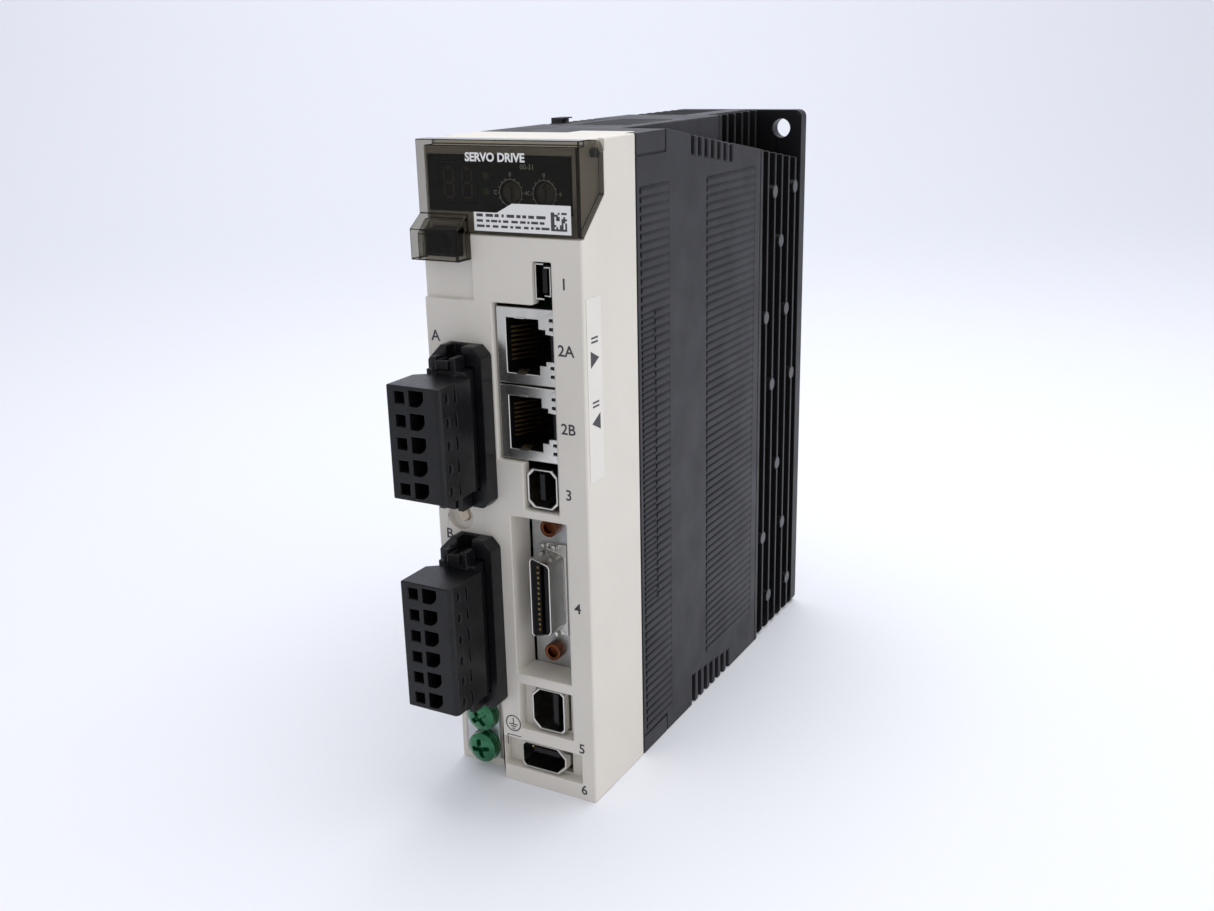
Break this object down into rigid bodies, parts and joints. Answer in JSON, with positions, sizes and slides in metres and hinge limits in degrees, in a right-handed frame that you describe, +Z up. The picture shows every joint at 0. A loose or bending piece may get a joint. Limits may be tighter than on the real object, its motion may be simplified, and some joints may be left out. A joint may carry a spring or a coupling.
{
  "type": "servo drive",
  "caption": "Slim panel-mounted servo drive: hinged smoked display cover, signal ports, pull-off power and motor plugs, ribbed housing and finned heatsink.",
  "frame": {"origin": "centre of the rear mounting face", "axes": "+Y out of the rear mounting face into the panel, so the ports face -Y; +Z up; +X to the right seen from the front, across the narrow width"},
  "size_m": [0.0401, 0.1495, 0.1513],
  "materials": {
    "ivory_plastic": "fine spark-eroded texture, moulded",
    "dark_plastic": "fine textured moulding with ribbed panels",
    "painted_aluminium": "die-cast aluminium, black satin coat",
    "label_film": "satin printed label film",
    "smoked_clear": "smoked clear polycarbonate, polished",
    "black_plastic": "satin moulding",
    "display_black": "smooth printed panel",
    "lamp_green": "tinted lens",
    "dial_ivory": "moulded",
    "lamp_clear": "frosted light pipe",
    "nickel_steel": "nickel-plated pressed steel",
    "gold_contacts": "gold flash",
    "zinc_steel": "zinc-plated pressed steel",
    "bronze_screw": "yellow-red passivated steel",
    "plug_black": "glass-filled polyamide, satin",
    "tinned_pins": "tin-plated copper",
    "spring_steel": "spring steel strip",
    "green_passivated": "green lacquered steel",
    "circuit_board": "solder-masked glass epoxy",
    "capacitor_sleeve": "shrink sleeve",
    "coil_tape": "polyester tape over ferrite",
    "relay_blue": "moulded case",
    "module_epoxy": "moulded epoxy",
    "thermal_silicone": "silicone pad"
  },
  "bodies": {
    "root": {"front_cover": "ivory_plastic", "main_housing": "dark_plastic", "heatsink": "painted_aluminium", "side_sticker": "label_film", "cover_pins": "black_plastic", "display_panel": "display_black", "digit_display": "display_black", "status_lamps": "lamp_green", "monitor_socket": "black_plastic", "address_switches": "black_plastic", "charge_lamp": "lamp_clear", "usb_shell": "nickel_steel", "usb_tongue": "black_plastic", "lan_shields": "nickel_steel", "lan_inserts": "black_plastic", "lan_contacts": "gold_contacts", "safety_shell": "nickel_steel", "safety_insert": "black_plastic", "io_shell": "nickel_steel", "io_insert": "black_plastic", "io_pins": "gold_contacts", "io_bracket": "zinc_steel", "io_jackscrews": "bronze_screw", "scale_shell": "nickel_steel", "scale_insert": "black_plastic", "encoder_shell": "nickel_steel", "encoder_insert": "black_plastic", "power_header": "plug_black", "power_header_pins": "tinned_pins", "motor_header": "plug_black", "motor_header_pins": "tinned_pins", "earth_plate": "zinc_steel", "earth_washers": "green_passivated", "earth_screws": "green_passivated", "control_board": "circuit_board", "power_board": "circuit_board", "board_link": "black_plastic", "bus_capacitors": "capacitor_sleeve", "transformer": "coil_tape", "charge_relay": "relay_blue", "power_module": "module_epoxy", "thermal_pad": "thermal_silicone", "module_screws": "zinc_steel"},
    "display_cover": {"display_cover": "smoked_clear", "rating_sticker": "label_film"},
    "address_dial_tens": {"address_dial_tens": "dial_ivory"},
    "address_dial_units": {"address_dial_units": "dial_ivory"},
    "power_plug": {"power_plug": "plug_black", "power_plug_clamps": "spring_steel"},
    "power_latch_top": {"power_latch_top": "plug_black"},
    "power_latch_bottom": {"power_latch_bottom": "plug_black"},
    "motor_plug": {"motor_plug": "plug_black", "motor_plug_clamps": "spring_steel"},
    "motor_latch_top": {"motor_latch_top": "plug_black"},
    "motor_latch_bottom": {"motor_latch_bottom": "plug_black"}
  },
  "joints": [
    {"name": "display_cover_hinge", "type": "hinge", "parent": "root", "child": "display_cover", "pos_m": [0, -0.1224, 0.0722], "axis": [-1, 0, 0], "range_deg": [0, 90]},
    {"name": "address_tens_turn", "type": "hinge", "parent": "root", "child": "address_dial_tens", "pos_m": [0.0026, -0.1265, 0.0642], "axis": [0, -1, 0], "continuous": true},
    {"name": "address_units_turn", "type": "hinge", "parent": "root", "child": "address_dial_units", "pos_m": [0.0108, -0.1265, 0.0642], "axis": [0, -1, 0], "continuous": true},
    {"name": "power_plug_pull", "type": "slide", "parent": "root", "child": "power_plug", "axis": [0, -1, 0], "range_m": [0, 0.014]},
    {"name": "motor_plug_pull", "type": "slide", "parent": "root", "child": "motor_plug", "axis": [0, -1, 0], "range_m": [0, 0.014]},
    {"name": "power_latch_top_press", "type": "hinge", "parent": "power_plug", "child": "power_latch_top", "pos_m": [-0.0103, -0.1356, 0.0284], "axis": [1, 0, 0], "range_deg": [0, 7], "stiffness_Nm_per_rad": 0.02},
    {"name": "power_latch_bottom_press", "type": "hinge", "parent": "power_plug", "child": "power_latch_bottom", "pos_m": [-0.0103, -0.1356, -0.0014], "axis": [-1, 0, 0], "range_deg": [0, 7], "stiffness_Nm_per_rad": 0.02},
    {"name": "motor_latch_top_press", "type": "hinge", "parent": "motor_plug", "child": "motor_latch_top", "pos_m": [-0.0103, -0.1356, -0.01616], "axis": [1, 0, 0], "range_deg": [0, 7], "stiffness_Nm_per_rad": 0.02},
    {"name": "motor_latch_bottom_press", "type": "hinge", "parent": "motor_plug", "child": "motor_latch_bottom", "pos_m": [-0.0103, -0.1356, -0.05104], "axis": [-1, 0, 0], "range_deg": [0, 7], "stiffness_Nm_per_rad": 0.02}
  ]
}
